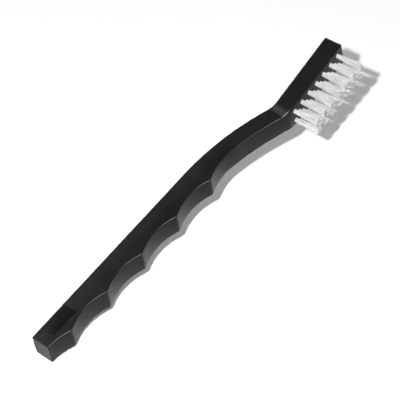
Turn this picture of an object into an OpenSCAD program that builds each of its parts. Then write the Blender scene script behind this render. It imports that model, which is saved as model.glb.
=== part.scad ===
// Crevice brush: a one-piece moulded handle with finger grips, a slim cranked neck and a
// head of three staggered rows of nylon tufts, each folded round a flat anchor in its hole.
// Millimetres. The brush lies on its side: +X runs from the butt to the head, +Y points
// to the back of the handle, the tufts point to -Y, and +Z is up through the thickness.
// The origin is the centre of the bounding box, at the bottom.

/* [Overall] */
// Length from the butt to the tip of the head
overall_l = 184.6; // [176:0.2:200]
// Thickness of the handle at the butt
butt_w = 11.6; // [9:0.1:12.2]
// Thickness of the handle where the neck starts
handle_w = 10.7; // [9:0.1:12]
// Thickness of the head
head_w = 12.7; // [12.2:0.1:15]

/* [Finger grips] */
// Depth of the handle at the bottom of a finger groove
groove_depth = 9.1; // [8.4:0.05:11]
// Radius of a finger groove
groove_r = 26; // [22:0.5:34]
// Distance from one ridge to the next
ridge_pitch = 22; // [19:0.5:22.5]
// Number of ridges
ridge_count = 5; // [2:1:5]
// Rounding of a ridge
ridge_r = 2; // [0.8:0.1:4]
// Distance from the butt to the first ridge
first_ridge = 11.45; // [8:0.05:13]

/* [Neck] */
// Distance from the butt to where the back starts to curve
neck_start = 95.2; // [85:0.2:104]
// Radius of the back along the neck
neck_r = 129.5; // [110:0.5:170]
// Depth of the neck where the last groove has run out
neck_root_depth = 8; // [6.5:0.05:9]
// Depth of the neck at the bend
neck_depth = 7.6; // [6.5:0.05:8.6]
// Length over which the last groove runs out into the neck
runout_l = 8; // [4:0.5:12]

/* [Head] */
// Length of the head, from the bend to the tip
head_l = 40.65; // [39:0.05:44]
// Angle of the tuft face to the handle
head_angle = 4.75; // [0:0.25:10]
// Depth of the head at the bend
head_root_depth = 8.2; // [7.2:0.05:10]
// Depth of the head at the tip
head_tip_depth = 8.7; // [7.2:0.05:10]
// How far the bend is blended
bend_blend = 0.7; // [0.3:0.1:1.2]
// Length of the step up from the neck's thickness to the head's
step_l = 4.7; // [2:0.1:6]
// Distance from the foot of the step to the bend
step_lead = 2.5; // [1:0.1:5]

/* [Edges] */
// Radius of the long edges
edge_r = 0.45; // [0.3:0.05:0.9]
// Radius of the tuft-side edges at the bend
bend_edge_r = 1.3; // [0.6:0.05:1.6]
// Length over which those edges swell, on each side of the bend
bend_edge_run = 6; // [4:0.5:10]
// Rounding of the butt and of the tip
end_r = 0.35; // [0.2:0.05:0.8]
// Draft of the walls on each side of the parting line, in degrees
draft = 2.5; // [0.5:0.25:4]

/* [Marks on the upper side] */
// Length of the sunk blank panel
panel_l = 13.7; // [8:0.1:18]
// Width of the sunk blank panel
panel_w = 5.8; // [3:0.1:6.4]
// Distance from the butt to the panel
panel_start = 5.4; // [4:0.1:10]
// Distance from the back to the panel
panel_inset = 1.35; // [1:0.05:1.8]
// Depth of the panel
panel_sink = 0.25; // [0.1:0.05:0.6]
// Diameter of the ejector mark by the butt
butt_mark_d = 3.4; // [2:0.1:4]
// Diameter of the ejector mark by the tip
tip_mark_d = 4.2; // [2:0.1:5]
// Diameter of the gate mark at the start of the neck
gate_mark_d = 2.8; // [1.5:0.1:4]
// Distance from an ejector mark to its end of the brush
mark_margin = 1.2; // [0.9:0.1:1.6]
// Depth of these round marks
mark_sink = 0.15; // [0.05:0.05:0.4]

/* [Tufts] */
// Tufts in each outer row
tuft_cols = 7; // [4:1:7]
// Distance from one tuft to the next in a row
tuft_pitch = 5.5; // [4.5:0.05:5.6]
// Distance from the middle row to an outer row
row_pitch = 3; // [2.6:0.05:3.3]
// Distance from the tip to the first tuft
tip_margin = 3.95; // [3.2:0.05:4.6]
// Diameter of a tuft hole
hole_d = 2.2; // [2.15:0.05:2.5]
// Depth of a tuft hole
hole_depth = 4.8; // [4:0.1:5.6]
// Free length of the bristles
trim_l = 11.6; // [8:0.1:16]
// Clearance of a folded bundle in its hole
tuft_clearance = 0.03; // [0.02:0.01:0.06]
// How far a bundle stands out before its strands part
bundle_proud = 0.4; // [0.2:0.05:0.8]
// How deep the foot of a strand sits in its bundle
strand_root = 0.3; // [0.1:0.05:0.5]
// Side of a strand
strand_side = 0.29; // [0.2:0.01:0.3]
// How many times wider a tuft is at its ends than at its bundle
splay = 1.5; // [1:0.05:1.8]
// Most that a strand falls short of the trim
trim_scatter = 0.3; // [0:0.05:0.6]

/* [Anchors] */
// Width of an anchor, which bites into both walls of its hole
anchor_w = 2.6; // [2.55:0.05:3]
// Height of an anchor
anchor_h = 1.2; // [0.8:0.1:1.6]
// Thickness of an anchor
anchor_t = 0.35; // [0.25:0.05:0.5]
// Room for the folded strands under an anchor
anchor_lift = 0.6; // [0.4:0.05:1]
// Clearance of an anchor in its seat
anchor_clearance = 0.02; // [0.01:0.01:0.05]

/* [Hidden] */
ROWS = ["upper", "middle", "lower"];
TUFTS = [for (row = [0:2]) for (col = [0:tuft_cols - (row == 1 ? 2 : 1)]) [row, col]];
TUFT_NODES = [for (t = TUFTS) str("tuft_", ROWS[t[0]], "_", t[1] + 1)];
ANCHOR_NODES = [for (t = TUFTS) str("anchor_", ROWS[t[0]], "_", t[1] + 1)];

mid_z = head_w / 2;
bend_x = overall_l - head_l;
last_ridge = first_ridge + (ridge_count - 1) * ridge_pitch;
last_groove = last_ridge + ridge_pitch / 2;
// Where a ridge's rounding meets the grooves beside it, and the rounding's centre
ridge_reach = ridge_pitch / 2 * ridge_r / (groove_r + ridge_r);
ridge_y = sqrt(pow(groove_r + ridge_r, 2) - pow(ridge_pitch / 2, 2)) - groove_depth - groove_r;

// The two arcs of the neck share one centre, under the point where the back starts to curve
function neck_arc(x, depth) = sqrt(pow(neck_r - depth, 2) - pow(max(0, x - neck_start), 2)) - neck_r;
back_at_bend = neck_arc(bend_x, 0);
function face_line(x) = back_at_bend - head_root_depth + (x - bend_x) * tan(head_angle);
function back_line(x) =
    back_at_bend + (x - bend_x) * (tan(head_angle) + (head_tip_depth - head_root_depth) / head_l);
function blend(a, b) = max(a, b) + pow(max(bend_blend - abs(a - b), 0), 2) / (4 * bend_blend);
function ease(t) = let (u = min(max(t, 0), 1)) u * u * (3 - 2 * u);
function mix(a, b, t) = a + (b - a) * t;

// Finger side of the handle, measured from the nearest ridge
function grip_y(x) =
    let (
        nearest = round((x - first_ridge) / ridge_pitch),
        ridge = first_ridge + min(max(nearest, 0), ridge_count - 1) * ridge_pitch,
        off = abs(x - ridge)
    )
    off < ridge_reach
        ? ridge_y - sqrt(pow(ridge_r, 2) - pow(off, 2))
        : sqrt(pow(groove_r, 2) - pow(ridge_pitch / 2 - off, 2)) - groove_depth - groove_r;
function neck_y(x) =
    neck_arc(x, mix(neck_root_depth, neck_depth, min(max((x - last_groove) / (bend_x - last_groove), 0), 1)));
function grip_run_y(x) = mix(grip_y(x), neck_y(x), ease((x - last_groove) / runout_l));

// The outline on the parting line: the back, and the finger and tuft side
function back_y(x) = blend(neck_arc(x, 0), back_line(x));
function front_y(x) = blend(x < last_groove + runout_l ? grip_run_y(min(x, last_groove + runout_l))
                                                       : neck_y(x), face_line(x));

// Half the thickness: it tapers along the grip, and the step has a sharp foot and a soft shoulder
step_x = bend_x - step_lead;
function half_w(x) =
    let (t = min(max((x - step_x) / step_l, 0), 1))
    mix(mix(butt_w, handle_w, min(x / neck_start, 1)), head_w, 1 - pow(1 - t, 2)) / 2;
// Edge radius on the tuft side, which swells round the bend
function front_edge(x) =
    edge_r + (bend_edge_r - edge_r) * (1 - ease(abs(x - bend_x) / bend_edge_run));

// Places of the cross-sections along the handle
GROOVE_STEPS = 8;
END_STEPS = 3;
ridge_fan = [-1, -0.5, 0, 0.5, 1];
function ridge_x(i) = first_ridge + i * ridge_pitch;
function spread(a, b, n) = [for (i = [1:n - 1]) a + (b - a) * i / n];
grip_stations = [for (i = [0:ridge_count - 1]) each concat(
    [for (f = ridge_fan) ridge_x(i) + f * ridge_reach],
    i < ridge_count - 1
        ? spread(ridge_x(i) + ridge_reach, ridge_x(i + 1) - ridge_reach, GROOVE_STEPS)
        : spread(ridge_x(i) + ridge_reach, last_groove, GROOVE_STEPS / 2))];
bend_start = step_x - 0.5;
bend_end = bend_x + 1.5 * step_l;
body_stations = concat(
    spread(end_r, first_ridge - ridge_reach, GROOVE_STEPS / 2),
    grip_stations,
    [last_groove],
    spread(last_groove, bend_start, 14),
    [bend_start],
    [for (i = [0:11]) step_x + i * step_l / 11],
    spread(step_x + step_l, bend_end, 6),
    [bend_end]);
// Each station is [place, inset]: the insets round the butt and the tip
STATIONS = concat(
    [for (i = [0:END_STEPS]) let (a = 90 * i / END_STEPS) [end_r * (1 - cos(a)), end_r * (1 - sin(a))]],
    [for (x = body_stations) [x, 0]],
    [for (i = [END_STEPS:-1:0]) let (a = 90 * i / END_STEPS)
        [overall_l - end_r * (1 - cos(a)), end_r * (1 - sin(a))]]);

// One corner of a section as an arc, from angle a0 to a1 about its own centre
CORNER_STEPS = 3;
function corner(y, z, r, a0, a1) =
    [for (i = [0:CORNER_STEPS]) let (a = a0 + (a1 - a0) * i / CORNER_STEPS) [y + r * cos(a), z + r * sin(a)]];
// A section in [y, z]: flat on top and below, walls that lean in from the parting line
function section(x, inset) =
    let (
        h = half_w(x) - inset,
        lean = h * tan(draft),
        back = back_y(x) - inset,
        front = front_y(x) + inset,
        rb = max(edge_r - inset, 0.1),
        rf = max(front_edge(x) - inset, 0.1),
        upper = concat(
            corner(back - lean - rb, h - rb, rb, 0, 90),
            corner(front + lean + rf, h - rf, rf, 90, 180))
    )
    concat([[back, 0]], upper, [[front, 0]], [for (i = [len(upper) - 1:-1:0]) [upper[i][0], -upper[i][1]]]);
// The head's sections turn until they stand square to the tuft face
function station_x(x, y) = x - max(x - bend_x, 0) / head_l * tan(head_angle) * (y - front_y(x) - end_r);

SECTION_POINTS = 4 * (CORNER_STEPS + 1) + 2;
HALF = SECTION_POINTS / 2;
BODY_POINTS = [for (s = STATIONS) each [for (p = section(s[0], s[1]))
    [station_x(s[0], p[0]), p[0], mid_z + p[1]]]];
function ring(i, j) = i * SECTION_POINTS + j % SECTION_POINTS;
LAST = len(STATIONS) - 1;
BODY_FACES = concat(
    [for (i = [0:LAST - 1]) for (j = [0:SECTION_POINTS - 1]) each [
        [ring(i, j), ring(i + 1, j), ring(i + 1, j + 1)],
        [ring(i, j), ring(i + 1, j + 1), ring(i, j + 1)]]],
    [[for (j = [0:HALF]) ring(0, j)], [for (j = [HALF:SECTION_POINTS]) ring(0, j)]],
    [[for (j = [HALF:-1:0]) ring(LAST, j)], [for (j = [SECTION_POINTS:-1:HALF]) ring(LAST, j)]]);

// Places of the tufts: distance from the tip along the tuft face, and height from mid-thickness
function tuft_place(t) = [tip_margin + (t[1] + (t[0] == 1 ? 0.5 : 0)) * tuft_pitch, (1 - t[0]) * row_pitch];
bundle_r = hole_d / 2 - tuft_clearance;
// The strands are spaced so that the outer ones just stay on the bundle
strand_pitch = (bundle_r - strand_side / sqrt(2)) / 2;
HEX = [for (a = [-2:2]) for (b = [-2:2]) if (abs(a + b) <= 2) [a + b / 2, b * sqrt(3) / 2] * strand_pitch];
GOLDEN = 137.508;
function turned(p, a) = [p[0] * cos(a) - p[1] * sin(a), p[0] * sin(a) + p[1] * cos(a)];
function scatter(i, k) = let (v = sin(i * 78.233 + k * 37.719) * 43.758) v - floor(v);
// The four corners of strand k of tuft i at its root (end 0) or its tip (end 1)
function strand_ring(i, k, end) =
    let (
        at = turned(HEX[k], i * GOLDEN) * mix(1, splay, end),
        z = mix(bundle_proud - strand_root, trim_l - trim_scatter * scatter(i, k), end),
        turn = k * GOLDEN
    )
    [for (c = [0:3]) let (p = at + turned([1, 0], turn + c * 90) * strand_side / sqrt(2)) [p[0], p[1], z]];
STRAND_FACES = concat(
    [[0, 1, 2], [0, 2, 3], [6, 5, 4], [7, 6, 4]],
    [for (c = [0:3]) each [[c, c + 4, (c + 1) % 4 + 4], [c, (c + 1) % 4 + 4, (c + 1) % 4]]]);

// How far the bristles reach, so that the bounding box can be centred
tip_face = [overall_l, face_line(overall_l)];
front_reach = min([for (i = [0:len(TUFTS) - 1]) for (k = [0:len(HEX) - 1]) for (p = strand_ring(i, k, 1))
    tip_face[1] + (p[0] - tuft_place(TUFTS[i])[0]) * sin(head_angle) - p[2] * cos(head_angle)]);
ORIGIN = [-overall_l / 2, -front_reach / 2, 0];

BLACK = "#1e1e20";
WHITE = "#f2f2ee";
STEEL = "#b8bbbf";

// Moves children from the origin to a tuft's place, with +Z out of the tuft face
module at_tuft(t) {
    place = tuft_place(t);
    translate([tip_face[0], tip_face[1], mid_z])
        rotate([0, 0, head_angle])
            translate([-place[0], 0, place[1]])
                rotate([90, 0, 0])
                    children();
}

module tuft_hole() {
    slot = 2 * anchor_clearance;
    translate([0, 0, -hole_depth])
        cylinder(d = hole_d, h = hole_depth + 2, $fn = 48);
    translate([-(anchor_w + slot) / 2, -(anchor_t + slot) / 2, anchor_lift - hole_depth - anchor_clearance])
        cube([anchor_w + slot, anchor_t + slot, anchor_h + slot]);
}

module round_mark(x, y, d) {
    translate([x, y, mid_z + half_w(x) - mark_sink])
        cylinder(d = d, h = 1, $fn = 48);
}

module handle() {
    panel_floor = mid_z + half_w(panel_start) - panel_sink;
    butt_x = mark_margin + butt_mark_d / 2;
    tip_x = overall_l - mark_margin - tip_mark_d / 2;
    color(BLACK)
        translate(ORIGIN)
            difference() {
                polyhedron(BODY_POINTS, BODY_FACES, convexity = 8);
                translate([panel_start, -panel_inset - panel_w, panel_floor])
                    cube([panel_l, panel_w, 1]);
                round_mark(butt_x, -panel_inset - butt_mark_d / 2, butt_mark_d);
                round_mark(neck_start, -groove_depth / 2, gate_mark_d);
                round_mark(tip_x, (back_y(tip_x) + front_y(tip_x)) / 2, tip_mark_d);
                for (t = TUFTS)
                    at_tuft(t) tuft_hole();
            }
}

module tuft(i) {
    slot = 2 * anchor_clearance;
    color(WHITE)
        translate(ORIGIN)
            at_tuft(TUFTS[i]) {
                difference() {
                    translate([0, 0, tuft_clearance - hole_depth])
                        cylinder(r = bundle_r, h = hole_depth - tuft_clearance + bundle_proud, $fn = 48);
                    translate([-hole_d, -(anchor_t + slot) / 2, anchor_lift - hole_depth - anchor_clearance])
                        cube([2 * hole_d, anchor_t + slot, anchor_h + slot]);
                }
                for (k = [0:len(HEX) - 1])
                    polyhedron(concat(strand_ring(i, k, 0), strand_ring(i, k, 1)), STRAND_FACES);
            }
}

module anchor(i) {
    color(STEEL)
        translate(ORIGIN)
            at_tuft(TUFTS[i])
                translate([-anchor_w / 2, -anchor_t / 2, anchor_lift - hole_depth])
                    cube([anchor_w, anchor_t, anchor_h]);
}

handle();
for (i = [0:len(TUFTS) - 1]) tuft(i);
for (i = [0:len(TUFTS) - 1]) anchor(i);
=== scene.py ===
"""Crevice brush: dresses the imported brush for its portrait.

The moulded handle keeps the shape of its solid, with its seams closed and its
normals smoothed. Each tuft is made again as the real one is: nylon filaments
folded round the flat anchor in their hole, standing up and spreading a little
to their trimmed ends. Lengths are in metres, in the row's own frame.
"""

import logging
import math
import random
from dataclasses import dataclass, field
from enum import Enum
from typing import Any, Iterable

import bpy
from mathutils import Matrix, Vector


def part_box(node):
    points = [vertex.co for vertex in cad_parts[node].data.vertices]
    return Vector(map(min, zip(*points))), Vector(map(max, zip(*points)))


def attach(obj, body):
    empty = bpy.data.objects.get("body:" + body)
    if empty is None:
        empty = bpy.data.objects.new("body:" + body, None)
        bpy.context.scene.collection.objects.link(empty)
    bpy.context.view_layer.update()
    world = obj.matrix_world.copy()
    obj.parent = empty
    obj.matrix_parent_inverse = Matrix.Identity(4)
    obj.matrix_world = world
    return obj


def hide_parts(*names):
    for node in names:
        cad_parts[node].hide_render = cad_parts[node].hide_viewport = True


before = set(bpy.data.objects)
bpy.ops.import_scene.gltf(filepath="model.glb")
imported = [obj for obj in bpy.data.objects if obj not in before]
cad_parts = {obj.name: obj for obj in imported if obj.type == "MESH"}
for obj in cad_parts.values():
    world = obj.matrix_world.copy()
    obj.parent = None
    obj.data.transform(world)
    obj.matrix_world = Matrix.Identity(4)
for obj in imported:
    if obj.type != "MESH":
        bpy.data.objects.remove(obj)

LOG = logging.getLogger("crevice_brush")
BODY = "root"
MM = 0.001
TUFT_FACE_Y = 0.189 * MM
MID_THICKNESS = 6.35 * MM
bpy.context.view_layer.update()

Rgb = tuple[float, float, float]
Corners = tuple[float, float, float, float]
SEEN_RAYS = ("Is Camera Ray", "Is Glossy Ray", "Is Transmission Ray")
QUARTER_TURN = math.radians(90.0)


class Row(Enum):
    """The three rows of tufts, by their names in the model."""

    UPPER = "upper"
    MIDDLE = "middle"
    LOWER = "lower"


def alone() -> None:
    """Deselects everything, so that an operator acts only on what is picked next."""
    if bpy.context.mode != "OBJECT":
        bpy.ops.object.mode_set(mode="OBJECT")
    bpy.ops.object.select_all(action="DESELECT")


def pick(obj: bpy.types.Object) -> bpy.types.Object:
    """Selects one object alone and makes it active.

    Args:
        obj: The object that the next operators act on.

    Returns:
        The same object.
    """
    alone()
    obj.select_set(True)
    bpy.context.view_layer.objects.active = obj
    return obj


class Value:
    """A number that flows through a material, with Python's own operators."""

    def __init__(self, graph: "Graph", socket: bpy.types.NodeSocket) -> None:
        """Wraps one output socket of a graph."""
        self.graph = graph
        self.socket = socket

    def _maths(self, operation: str, *values: "Value | float") -> "Value":
        """Adds one Math node.

        Args:
            operation: The Math node's operation.
            values: Its inputs, in order.

        Returns:
            The node's output.
        """
        inputs = dict(enumerate(values))
        return self.graph.add("ShaderNodeMath", {"operation": operation}, inputs)

    def __add__(self, other: "Value | float") -> "Value":
        """Self plus other."""
        return self._maths("ADD", self, other)

    def __radd__(self, other: "Value | float") -> "Value":
        """Other plus self."""
        return self._maths("ADD", other, self)

    def __sub__(self, other: "Value | float") -> "Value":
        """Self minus other."""
        return self._maths("SUBTRACT", self, other)

    def __rsub__(self, other: "Value | float") -> "Value":
        """Other minus self."""
        return self._maths("SUBTRACT", other, self)

    def __mul__(self, other: "Value | float") -> "Value":
        """Self times other."""
        return self._maths("MULTIPLY", self, other)

    def __rmul__(self, other: "Value | float") -> "Value":
        """Other times self."""
        return self._maths("MULTIPLY", other, self)

    def between(self, low: float, high: float) -> "Value":
        """Self mapped so that low gives 0 and high gives 1, held at both ends.

        Args:
            low: The value that gives 0.
            high: The value that gives 1.

        Returns:
            The mapped value.
        """
        settings = {"clamp": True}
        inputs = {"Value": self, "From Min": low, "From Max": high}
        return self.graph.add("ShaderNodeMapRange", settings, inputs)


class Graph:
    """The node tree of a material or of the world, built from plain calls."""

    def __init__(self, owner: bpy.types.Material | bpy.types.World) -> None:
        """Empties the node tree of what it is given."""
        self.owner = owner
        owner.use_nodes = True
        self.tree = owner.node_tree
        self.tree.nodes.clear()

    def node(
        self,
        kind: str,
        settings: dict[str, Any] | None = None,
        inputs: dict[str | int, Any] | None = None,
    ) -> bpy.types.Node:
        """Adds one node.

        Args:
            kind: The node's type.
            settings: Properties that are set before its sockets.
            inputs: Values or links of its input sockets, by name or place.

        Returns:
            The node.
        """
        made = self.tree.nodes.new(kind)
        for key, value in (settings or {}).items():
            setattr(made, key, value)
        for key, value in (inputs or {}).items():
            if isinstance(value, Value):
                self.tree.links.new(value.socket, made.inputs[key])
            else:
                made.inputs[key].default_value = value
        return made

    def add(
        self,
        kind: str,
        settings: dict[str, Any] | None = None,
        inputs: dict[str | int, Any] | None = None,
        output: str | int = 0,
    ) -> Value:
        """Adds one node and gives one of its outputs.

        Args:
            kind: The node's type.
            settings: Properties that are set before its sockets.
            inputs: Values or links of its input sockets.
            output: The output's name or place.

        Returns:
            That output.
        """
        return Value(self, self.node(kind, settings, inputs).outputs[output])

    def place(self) -> Value:
        """The point that is shaded, in the object's own space."""
        return self.add("ShaderNodeTexCoord", output="Object")

    def axes(self, at: Value) -> list[Value]:
        """The x, y and z of a point."""
        split = self.node("ShaderNodeSeparateXYZ", None, {0: at})
        return [Value(self, out) for out in split.outputs]

    def seen(self) -> Value:
        """1 for what is looked at, straight or in gloss or glass, and 0 for light."""
        ray = self.node("ShaderNodeLightPath")
        camera, glossy, glass = (Value(self, ray.outputs[name]) for name in SEEN_RAYS)
        return (camera + glossy + glass).between(0.0, 1.0)

    def noise(self, at: Value, scale: float, detail: float = 2.0) -> Value:
        """Cloudy noise from 0 to 1.

        Args:
            at: Where it is read.
            scale: Blotches for each metre.
            detail: Octaves of finer blotches.

        Returns:
            The noise.
        """
        inputs = {"Vector": at, "Scale": scale, "Detail": detail}
        return self.add("ShaderNodeTexNoise", None, inputs)

    def blend(self, factor: Value, low: Rgb, high: Rgb) -> Value:
        """A colour between two.

        Args:
            factor: 0 gives low and 1 gives high.
            low: The first colour.
            high: The second colour.

        Returns:
            The colour.
        """
        return self.add(
            "ShaderNodeMix",
            {"data_type": "RGBA"},
            {0: factor, 6: (*low, 1.0), 7: (*high, 1.0)},
            output=2,
        )

    def bump(self, height: Value, depth: float, strength: float) -> Value:
        """A bumped normal.

        Args:
            height: The height, from 0 to 1.
            depth: What 1 stands for, in metres.
            strength: How much of it shows.

        Returns:
            The normal.
        """
        inputs = {"Height": height, "Distance": depth, "Strength": strength}
        return self.add("ShaderNodeBump", None, inputs)

    def finish(self, shader: Value) -> bpy.types.Material | bpy.types.World:
        """Sends a shader to the surface and gives the material or the world."""
        world = isinstance(self.owner, bpy.types.World)
        kind = "ShaderNodeOutputWorld" if world else "ShaderNodeOutputMaterial"
        self.node(kind, None, {"Surface": shader})
        return self.owner


@dataclass(frozen=True)
class MouldedPlastic:
    """Gloss black plastic, as it comes from a polished mould, with painted sheen and
    painted shade in its colour.

    Args:
        name: The material's name.
        shade: The plastic's colour where it is cleanest, and the colour that painted
            shade pulls toward in the sunk panel and on the mark rims.
        worn_and_sheen: Its colour where handling has worn it, and where sheen is
            painted along the back and on the mark floors.
        gloss: Roughness of the polished skin.
        haze: Most that the roughness rises in the dull patches.
        ripple: Depth of the slow waves in the skin.
        grain: Depth of the fine grain.
        dull_and_sheen_back: Where the duller polish along the back starts and is full;
            the colour is painted lighter there too, as painted sheen.
        ior: How strongly the skin bends light.
        shine: How much of its mirroring shows.
        dull_rough: Roughness that the duller back adds.
        panel: Two opposite corners of the sunk panel, seen from above.
        panel_shade_fade: How far the painted shade on the panel's floor fades past its
            outer
        end, and how far short of its inner end it is full.
        panel_floor: Height that splits the top face from all below it.
        soft: Width of the edge of a painted area.
        marks: The round mould marks: their middles, and their radius last.
    """

    name: str = "black_moulded_plastic"
    shade: Rgb = (0.0010, 0.0010, 0.0014)
    worn_and_sheen: Rgb = (0.0085, 0.0085, 0.0096)
    gloss: float = 0.22
    haze: float = 0.09
    ripple: float = 0.00006
    grain: float = 0.000012
    dull_and_sheen_back: tuple[float, float] = (8.0 * MM, 12.5 * MM)
    ior: float = 1.45
    shine: float = 0.12
    dull_rough: float = 0.12
    panel: Corners = (-86.9 * MM, 7.4 * MM, -73.2 * MM, 13.2 * MM)
    panel_shade_fade: tuple[float, float] = (9.0 * MM, 6.0 * MM)
    panel_floor: float = 11.0 * MM
    soft: float = 0.1 * MM
    marks: tuple[Rgb, ...] = (
        (-89.4 * MM, 11.5 * MM, 1.7 * MM),
        (2.9 * MM, 10.0 * MM, 1.4 * MM),
        (89.0 * MM, 5.0 * MM, 2.1 * MM),
    )

    def sunk_panel_shade_and_smooth(self, g: Graph, at: Value) -> Value:
        """Where the sunk panel's floor is, more strongly toward its inner end: where
        its shade is painted and its skin made smoother.

        Args:
            g: The material's graph.
            at: The point that is shaded.

        Returns:
            0 outside it, up to 1 inside it.
        """
        x, y, z = g.axes(at)
        left, low, right, high = self.panel
        along = x.between(left, left + self.soft) * x.between(right, right - self.soft)
        across = y.between(low, low + self.soft) * y.between(high, high - self.soft)
        inner = x.between(left - self.panel_shade_fade[0], right - self.panel_shade_fade[1])
        top = z.between(self.panel_floor, self.panel_floor + self.soft)
        return along * across * inner * top

    def mark_rim_shade_and_floor_sheen(self, g: Graph, at: Value) -> Value:
        """Where the round marks are: shade is painted on their rims and sheen on their
        floors.

        Args:
            g: The material's graph.
            at: The point that is shaded.

        Returns:
            0 outside them, below 0 on their rims, for painted shade, and above 0 on
            their floors, for painted sheen.
        """
        level = {"Vector": at, "Scale": (1.0, 1.0, 0.0)}
        flat = g.add("ShaderNodeMapping", None, level)
        total = flat * 0.0
        distance = {"operation": "DISTANCE"}
        for x, y, radius in self.marks:
            ends = {0: flat, 1: (x, y, 0.0)}
            far = g.add("ShaderNodeVectorMath", distance, ends, "Value")
            total = total + far.between(radius - 0.3 * MM, radius - 0.5 * MM)
            total = total - far.between(radius + 0.2 * MM, radius) * 0.7
        top = g.axes(at)[2].between(10.0 * MM, 10.1 * MM)
        return total * top

    def material(self) -> bpy.types.Material:
        """Builds the material."""
        g = Graph(bpy.data.materials.new(self.name))
        at = g.place()
        patches = g.noise(at, 60.0, 3.0).between(0.35, 0.7)
        scuffs = g.noise(at, 900.0, 4.0).between(0.45, 0.75)
        waves = g.noise(at, 140.0, 1.0)
        grain = g.noise(at, 5200.0, 2.0)
        depth = self.ripple + self.grain
        height = waves * (self.ripple / depth) + grain * (self.grain / depth)
        # Painted shade on the sunk panel's floor, which is also given a smoother skin.
        panel = self.sunk_panel_shade_and_smooth(g, at)
        # Painted shade on the rims of the round marks and painted sheen on their
        # floors.
        marks = self.mark_rim_shade_and_floor_sheen(g, at)
        # Duller polish along the back; it also paints sheen there by lifting the colour
        # toward the lighter end.
        back = g.axes(at)[1].between(*self.dull_and_sheen_back)
        # Real wear from the patches and scuffs, with painted sheen along the back and
        # on the mark floors, and painted shade on the mark rims and in the sunk panel.
        wear_and_painted_light = patches * 0.5 + scuffs * 0.3 + back * 0.5 + marks * 1.2 - panel
        rough = patches * self.haze + back * self.dull_rough + self.gloss
        shader = g.add(
            "ShaderNodeBsdfPrincipled",
            None,
            {
                "Base Color": g.blend(wear_and_painted_light.between(-0.7, 1.3), self.shade, self.worn_and_sheen),
                "Roughness": rough - panel * self.gloss,
                "IOR": self.ior,
                "Specular IOR Level": self.shine,
                "Normal": g.bump(height, depth, 0.5),
            },
        )
        return g.finish(shader)


@dataclass(frozen=True)
class NylonFilament:
    """White nylon that lets a little light through.

    Args:
        name: The material's name.
        shaded: The colour of the darker streaks along the filaments, painted shade
            between the strands.
        bright: The nylon's own colour, between the painted shade streaks.
        sheen: Roughness of the drawn surface.
        ior: How strongly nylon bends light.
        clear: Share of the light that goes into it.
        depth: How far that light travels inside it.
    """

    name: str = "white_nylon_filament"
    shaded: Rgb = (0.52, 0.52, 0.51)
    bright: Rgb = (0.95, 0.945, 0.925)
    sheen: float = 0.32
    ior: float = 1.53
    clear: float = 0.5
    depth: float = 0.6 * MM

    def material(self) -> bpy.types.Material:
        """Builds the material."""
        g = Graph(bpy.data.materials.new(self.name))
        at = g.place()
        drawn_out = {"Vector": at, "Scale": (1.0, 0.05, 1.0)}
        drawn = g.add("ShaderNodeMapping", None, drawn_out)
        strands = g.noise(drawn, 2600.0, 1.0).between(0.35, 0.65)
        lengths = g.noise(at, 320.0, 2.0).between(0.3, 0.7)
        draw_lines = g.noise(at, 9000.0, 1.0)
        # Darker streaks along the filaments are painted shade between the strands.
        pale = strands * 0.7 + lengths * 0.3
        shader = g.add(
            "ShaderNodeBsdfPrincipled",
            None,
            {
                "Base Color": g.blend(pale, self.shaded, self.bright),
                "Roughness": lengths * 0.12 + self.sheen,
                "IOR": self.ior,
                "Subsurface Weight": self.clear,
                "Subsurface Radius": (self.depth,) * 3,
                "Subsurface Scale": 1.0,
                "Normal": g.bump(draw_lines, 0.00001, 0.2),
            },
        )
        return g.finish(shader)


@dataclass(frozen=True)
class AnchorStrip:
    """Flat drawn metal strip with fine lines along it.

    Args:
        name: The material's name.
        dull: The colour in the lines.
        bright: The colour between them.
    """

    name: str = "anchor_strip_metal"
    dull: Rgb = (0.40, 0.41, 0.43)
    bright: Rgb = (0.62, 0.63, 0.65)

    def material(self) -> bpy.types.Material:
        """Builds the material."""
        g = Graph(bpy.data.materials.new(self.name))
        stretched = g.add(
            "ShaderNodeMapping", None, {"Vector": g.place(), "Scale": (0.06, 1.0, 1.0)}
        )
        lines = g.noise(stretched, 16000.0, 3.0).between(0.3, 0.7)
        shader = g.add(
            "ShaderNodeBsdfPrincipled",
            None,
            {
                "Base Color": g.blend(lines, self.dull, self.bright),
                "Metallic": 1.0,
                "Roughness": lines * 0.15 + 0.25,
                "Normal": g.bump(lines, 0.000008, 0.4),
            },
        )
        return g.finish(shader)


@dataclass(frozen=True)
class StudioPaper:
    """Pale paper under the brush, which the camera sees as white.

    Args:
        name: The material's name.
        colour: The paper's own colour, which carries the shadow.
        lift: Light added to what the camera and reflections see of it.
    """

    name: str = "studio_paper"
    colour: Rgb = (0.97, 0.97, 0.97)
    lift: float = 0.12

    def material(self) -> bpy.types.Material:
        """Builds the material."""
        g = Graph(bpy.data.materials.new(self.name))
        paper = g.add("ShaderNodeBsdfDiffuse", None, {"Color": (*self.colour, 1.0)})
        white = {"Color": (1.0, 1.0, 1.0, 1.0), "Strength": g.seen() * self.lift}
        glow = g.add("ShaderNodeEmission", None, white)
        return g.finish(g.add("ShaderNodeAddShader", None, {0: paper, 1: glow}))


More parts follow.
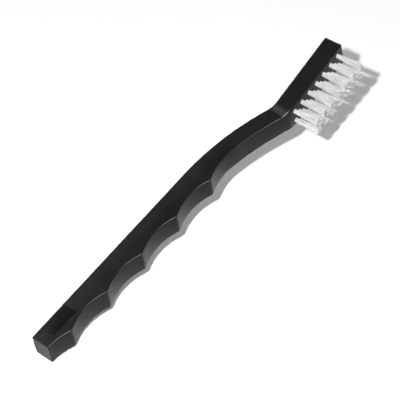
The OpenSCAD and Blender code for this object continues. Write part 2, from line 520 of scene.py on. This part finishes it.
@dataclass
class Handle:
    """The moulded body: handle, neck and head in one piece.

    Args:
        node: The solid that it is made from.
        name: The piece's name.
        finish: Its plastic.
        weld: Distance under which the solid's loose corners are joined.
        crease: Angle above which an edge stays sharp.
    """

    node: str = "handle"
    name: str = "handle_moulding"
    finish: MouldedPlastic = field(default_factory=MouldedPlastic)
    weld: float = 0.002 * MM
    crease: float = math.radians(38.0)

    def build(self) -> bpy.types.Object:
        """Copies the solid, closes its seams and smooths its normals.

        Returns:
            The finished piece.
        """
        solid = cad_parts[self.node]
        obj = bpy.data.objects.new(self.name, solid.data.copy())
        bpy.context.scene.collection.objects.link(obj)
        pick(obj)
        bpy.ops.object.mode_set(mode="EDIT")
        bpy.ops.mesh.select_all(action="SELECT")
        bpy.ops.mesh.remove_doubles(threshold=self.weld)
        bpy.ops.mesh.customdata_custom_splitnormals_clear()
        bpy.ops.object.mode_set(mode="OBJECT")
        bpy.ops.object.shade_smooth_by_angle(angle=self.crease)
        weighted = obj.modifiers.new("even_faces", "WEIGHTED_NORMAL")
        weighted.keep_sharp = True
        weighted.weight = 100
        bpy.ops.object.modifier_apply(modifier=weighted.name)
        return obj

    def dress(self, obj: bpy.types.Object) -> bpy.types.Object:
        """Gives the piece its plastic and its place in the model.

        Args:
            obj: The piece.

        Returns:
            The same piece.
        """
        obj.data.materials.clear()
        obj.data.materials.append(self.finish.material())
        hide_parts(self.node)
        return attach(obj, BODY)


@dataclass
class TuftField:
    """The three rows of tufts in the head.

    Args:
        counts: Tufts in each row.
        pitch: Distance from one tuft to the next in a row.
        row_pitch: Distance from the middle row to an outer row.
        tip_margin: Distance from the tip to the first tuft, along the tuft face.
        tip_face: The tip end of the tuft face, at mid-thickness.
        face_angle: Angle of the tuft face to the handle.
        trim: Free length of the filaments.
        filament: Diameter of a filament.
        spacing: Distance between filaments at the mouth of the hole.
        splay: How many times wider a tuft is at its ends than at its mouth, along the
            row and across it.
        scatter: Most that a filament falls short of the trim.
        lean: How far a filament's end strays from its place, in millimetres.
        mouth_rows: Filaments in each line at the mouth, on one side of the anchor,
            and how many lines that line is from the anchor.
        anchor_half: Half of the anchor's thickness.
        anchor_top: Depth of the anchor's upper edge.
        anchor_foot: Depth of the anchor's lower edge.
        weld: Distance under which a filament's loose corners are joined.
        crease: Angle above which an edge of a filament stays sharp.
        variants: How many tufts are modelled before they are copied.
        finish: The filaments' nylon.
    """

    tip_face: Vector
    counts: dict[Row, int] = field(
        default_factory=lambda: {Row.UPPER: 7, Row.MIDDLE: 6, Row.LOWER: 7}
    )
    pitch: float = 5.5 * MM
    row_pitch: float = 3.0 * MM
    tip_margin: float = 3.95 * MM
    face_angle: float = math.radians(4.75)
    trim: float = 11.6 * MM
    filament: float = 0.28 * MM
    spacing: float = 0.285 * MM
    splay: tuple[float, float] = (1.75, 1.6)
    scatter: float = 0.3 * MM
    lean: float = 0.14
    mouth_rows: tuple[tuple[int, float], ...] = ((7, 0.5), (6, 1.5), (5, 2.5), (4, 3.5))
    anchor_half: float = 0.175 * MM
    anchor_top: float = -3.0 * MM
    anchor_foot: float = -4.2 * MM
    weld: float = 0.001 * MM
    crease: float = math.radians(65.0)
    variants: int = 5
    finish: NylonFilament = field(default_factory=NylonFilament)

    def lattice(self) -> list[tuple[float, float]]:
        """Places at the mouth of the filaments on one side of the anchor.

        Returns:
            Places across and away from the anchor, which has none on its own line.
        """
        step = self.spacing * math.sqrt(3) / 2
        places = []
        for count, away in self.mouth_rows:
            for i in range(count):
                across = (i - (count - 1) / 2) * self.spacing
                places.append((across, away * step))
        return places

    def fold(self, across: float, away: float, dice: random.Random) -> list[Vector]:
        """The line of one filament, from one trimmed end round the anchor to the other.

        Args:
            across: Its place along the anchor, at the mouth.
            away: Its place away from the anchor, at the mouth.
            dice: Where its small differences come from.

        Returns:
            Points of the line, with +Z out of the hole.
        """
        rank = away / (self.spacing * 4)
        bed = self.anchor_half + self.filament * 0.6 + rank * 0.62 * MM
        turn = self.anchor_foot - self.filament * 0.6 - rank * 0.38 * MM
        legs = []
        for side in (1, -1):
            end = self.trim - dice.random() * self.scatter
            strays = dice.gauss(0.0, self.lean), dice.gauss(0.0, self.lean)
            lean = Vector((*strays, 0.0)) * MM
            mouth = Vector((across, side * away, 0.0))
            outer = mouth * Vector((*self.splay, 1.0)) + lean
            legs.append(
                [
                    outer + Vector((0.0, 0.0, end)),
                    mouth.lerp(outer, 0.62) + Vector((0.0, 0.0, end * 0.66)),
                    mouth.lerp(outer, 0.22) + Vector((0.0, 0.0, end * 0.3)),
                    mouth + Vector((0.0, 0.0, 0.2 * MM)),
                    Vector((across * 0.9, side * bed, self.anchor_top)),
                    Vector((across * 0.85, side * bed, self.anchor_foot)),
                ]
            )
        middle = [Vector((across * 0.85, 0.0, turn))]
        return legs[0] + middle + legs[1][::-1]

    def model_tuft(self, seed: int) -> bpy.types.Mesh:
        """Models one tuft as round filaments along their folded lines.

        Args:
            seed: Which variant it is.

        Returns:
            Its mesh, with +Z out of the hole and the mouth at the origin.
        """
        dice = random.Random(seed)
        curve = bpy.data.curves.new(f"tuft_lines_{seed}", "CURVE")
        curve.dimensions = "3D"
        curve.bevel_depth = self.filament / 2
        curve.bevel_resolution = 1
        curve.use_fill_caps = True
        for across, away in self.lattice():
            points = self.fold(across, away, dice)
            line = curve.splines.new("POLY")
            line.points.add(len(points) - 1)
            for point, at in zip(line.points, points):
                point.co = (*at, 1.0)
        obj = bpy.data.objects.new(curve.name, curve)
        bpy.context.scene.collection.objects.link(obj)
        pick(obj)
        bpy.ops.object.convert(target="MESH")
        obj = bpy.context.view_layer.objects.active
        bpy.ops.object.mode_set(mode="EDIT")
        bpy.ops.mesh.select_all(action="SELECT")
        bpy.ops.mesh.remove_doubles(threshold=self.weld)
        bpy.ops.mesh.normals_make_consistent(inside=False)
        bpy.ops.object.mode_set(mode="OBJECT")
        bpy.ops.object.shade_smooth_by_angle(angle=self.crease)
        mesh = obj.data.copy()
        bpy.data.objects.remove(obj)
        return mesh

    def seat(self, row: Row, column: int) -> Matrix:
        """Where a tuft stands.

        Args:
            row: Its row.
            column: Its place in the row, from the tip, counted from 0.

        Returns:
            The move from a tuft modelled at the origin.
        """
        stagger = 0.5 if row is Row.MIDDLE else 0.0
        along = self.tip_margin + (column + stagger) * self.pitch
        rise = {Row.UPPER: 1, Row.MIDDLE: 0, Row.LOWER: -1}[row] * self.row_pitch
        head = Matrix.Translation(self.tip_face)
        head = head @ Matrix.Rotation(self.face_angle, 4, "Z")
        out_of_face = Matrix.Rotation(QUARTER_TURN, 4, "X")
        return head @ Matrix.Translation((-along, 0.0, rise)) @ out_of_face

    def build(self) -> Iterable[tuple[bpy.types.Object, str]]:
        """Copies the modelled tufts into every hole.

        Yields:
            Each tuft's piece, and the solid that it stands for.
        """
        models = [self.model_tuft(seed) for seed in range(self.variants)]
        half_turn = Matrix.Rotation(math.pi, 4, "Z")
        flip = Matrix.Identity(4)
        placed = 0
        for row, count in self.counts.items():
            for column in range(count):
                mesh = models[(placed * 3 + column) % self.variants].copy()
                turn = half_turn if placed % 2 else flip
                mesh.transform(self.seat(row, column) @ turn)
                name = f"bristles_{row.value}_{column + 1}"
                obj = bpy.data.objects.new(name, mesh)
                bpy.context.scene.collection.objects.link(obj)
                placed += 1
                yield obj, f"tuft_{row.value}_{column + 1}"

    def dress(
        self, obj: bpy.types.Object, node: str, nylon: bpy.types.Material
    ) -> bpy.types.Object:
        """Gives a tuft its nylon and its place in the model.

        Args:
            obj: The tuft's piece.
            node: The solid that it stands for.
            nylon: The filaments' material.

        Returns:
            The same piece.
        """
        obj.data.materials.clear()
        obj.data.materials.append(nylon)
        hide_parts(node)
        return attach(obj, BODY)


@dataclass
class Anchors:
    """The metal strips that hold the tufts, as the model has them.

    Args:
        prefix: How their names start.
        finish: Their metal.
    """

    prefix: str = "anchor_"
    finish: AnchorStrip = field(default_factory=AnchorStrip)

    def dress(self) -> int:
        """Gives every anchor its metal.

        Returns:
            How many there are.
        """
        metal = self.finish.material()
        found = [o for n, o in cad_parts.items() if n.startswith(self.prefix)]
        for obj in found:
            obj.data.materials.clear()
            obj.data.materials.append(metal)
        return len(found)


@dataclass(frozen=True)
class StudioSky:
    """Plain even sky, which is white where it is looked at.

    Args:
        name: The world's name.
        strength: How strongly it lights the brush.
        backdrop: How bright it looks.
    """

    name: str = "studio_sky"
    strength: float = 0.24
    backdrop: float = 1.0

    def world(self) -> bpy.types.World:
        """Builds the world."""
        g = Graph(bpy.data.worlds.new(self.name))
        white = (1.0, 1.0, 1.0, 1.0)
        light, look = (
            g.add("ShaderNodeBackground", None, {"Color": white, "Strength": strength})
            for strength in (self.strength, self.backdrop)
        )
        both = {0: g.seen(), 1: light, 2: look}
        return g.finish(g.add("ShaderNodeMixShader", None, both))


@dataclass(frozen=True)
class Lamp:
    """One square soft lamp that faces the middle of the brush.

    Args:
        name: The lamp's name.
        at: Where it hangs.
        size: Length of its side.
        watts: Its power.
        lights: Whether it lights surfaces.
        shines: Whether glossy skins mirror it.
    """

    name: str
    at: tuple[float, float, float]
    size: float
    watts: float
    lights: bool = True
    shines: bool = True

    def hang(self) -> bpy.types.Object:
        """Hangs the lamp."""
        data = bpy.data.lights.new(self.name, "AREA")
        data.shape = "SQUARE"
        data.size = self.size
        data.energy = self.watts
        lamp = bpy.data.objects.new(self.name, data)
        bpy.context.scene.collection.objects.link(lamp)
        lamp.location = self.at
        lamp.rotation_mode = "QUATERNION"
        lamp.rotation_quaternion = (-Vector(self.at)).to_track_quat("-Z", "Y")
        lamp.visible_diffuse = self.lights
        lamp.visible_glossy = self.shines
        return lamp


@dataclass
class Studio:
    """Paper, lamps, sky and camera.

    Args:
        butt_x: The butt's end, whose lower edge rests on the paper.
        butt_z: Height of that edge.
        prop: Angle at which the head is propped up from the paper, as the widening
            shadow in the photograph shows.
        paper: The paper's finish.
        paper_side: Length of the paper's side.
        lamps: The lamp that casts the shadow, a fill for the tip, and two cards that
            only show in the gloss.
        sky: The world's light.
        eye: Where the camera is.
        turn: The camera's turn as a vector: its direction is the axis and its
            length the angle in radians, from the row's frame to the lens's, which
            has X to the right, Y down and Z ahead.
        focal: Focal length as a share of the picture's width.
    """

    butt_x: float = -92.3 * MM
    butt_z: float = 0.55 * MM
    prop: float = math.radians(7.0)
    paper: StudioPaper = field(default_factory=StudioPaper)
    paper_side: float = 8.0
    lamps: tuple[Lamp, ...] = (
        Lamp("key_lamp", (-0.286, -0.153, 0.656), 0.035, 5.4),
        Lamp("tip_fill", (0.15, -0.9, 0.15), 0.3, 1.2, shines=False),
        Lamp("sheen_card", (0.0, 0.55, 0.95), 0.32, 4.0, lights=False),
        Lamp("edge_card", (-0.10, -0.55, 0.62), 0.5, 40.0, lights=False),
    )
    sky: StudioSky = field(default_factory=StudioSky)
    eye: Vector = field(default_factory=lambda: Vector((-388.74, -432.16, 842.24)) * MM)
    turn: Vector = field(default_factory=lambda: Vector((2.278, -1.136, 0.210)))
    focal: float = 6.228

    def lay_paper(self) -> bpy.types.Object:
        """Lays the paper so that the butt rests on it and the head is clear of it."""
        bpy.ops.mesh.primitive_plane_add(size=self.paper_side)
        paper = bpy.context.view_layer.objects.active
        paper.name = "studio_paper"
        paper.data.transform(Matrix.Rotation(self.prop, 4, "Y"))
        paper.data.transform(Matrix.Translation((self.butt_x, 0.0, self.butt_z)))
        paper.data.materials.append(self.paper.material())
        return paper

    def light(self) -> None:
        """Hangs the lamps and sets the sky."""
        for lamp in self.lamps:
            lamp.hang()
        bpy.context.scene.world = self.sky.world()

    def set_camera(self) -> bpy.types.Object:
        """Sets the camera where the photograph was taken from."""
        data = bpy.data.cameras.new("portrait_camera")
        data.sensor_width = 36.0
        data.lens = data.sensor_width * self.focal
        data.clip_start = 0.05
        data.clip_end = 50.0
        camera = bpy.data.objects.new("portrait_camera", data)
        bpy.context.scene.collection.objects.link(camera)
        to_lens = Matrix.Rotation(self.turn.length, 3, self.turn.normalized())
        right, down, ahead = to_lens.row
        pose = Matrix((right, -down, -ahead)).transposed().to_4x4()
        camera.matrix_world = Matrix.Translation(self.eye) @ pose
        bpy.context.scene.camera = camera
        bpy.context.scene.view_settings.view_transform = "Standard"
        return camera


def main() -> None:
    """Builds and dresses the brush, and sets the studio."""
    logging.basicConfig(level=logging.INFO, format="%(message)s")
    handle = Handle()
    LOG.info("piece %s", handle.dress(handle.build()).name)
    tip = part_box("handle")[1].x
    tufts = TuftField(tip_face=Vector((tip, TUFT_FACE_Y, MID_THICKNESS)))
    nylon = tufts.finish.material()
    for obj, node in tufts.build():
        LOG.info("piece %s", tufts.dress(obj, node, nylon).name)
    LOG.info("anchors %d", Anchors().dress())
    studio = Studio()
    studio.lay_paper()
    studio.light()
    studio.set_camera()
    bpy.context.view_layer.update()


if __name__ == "__main__":
    main()
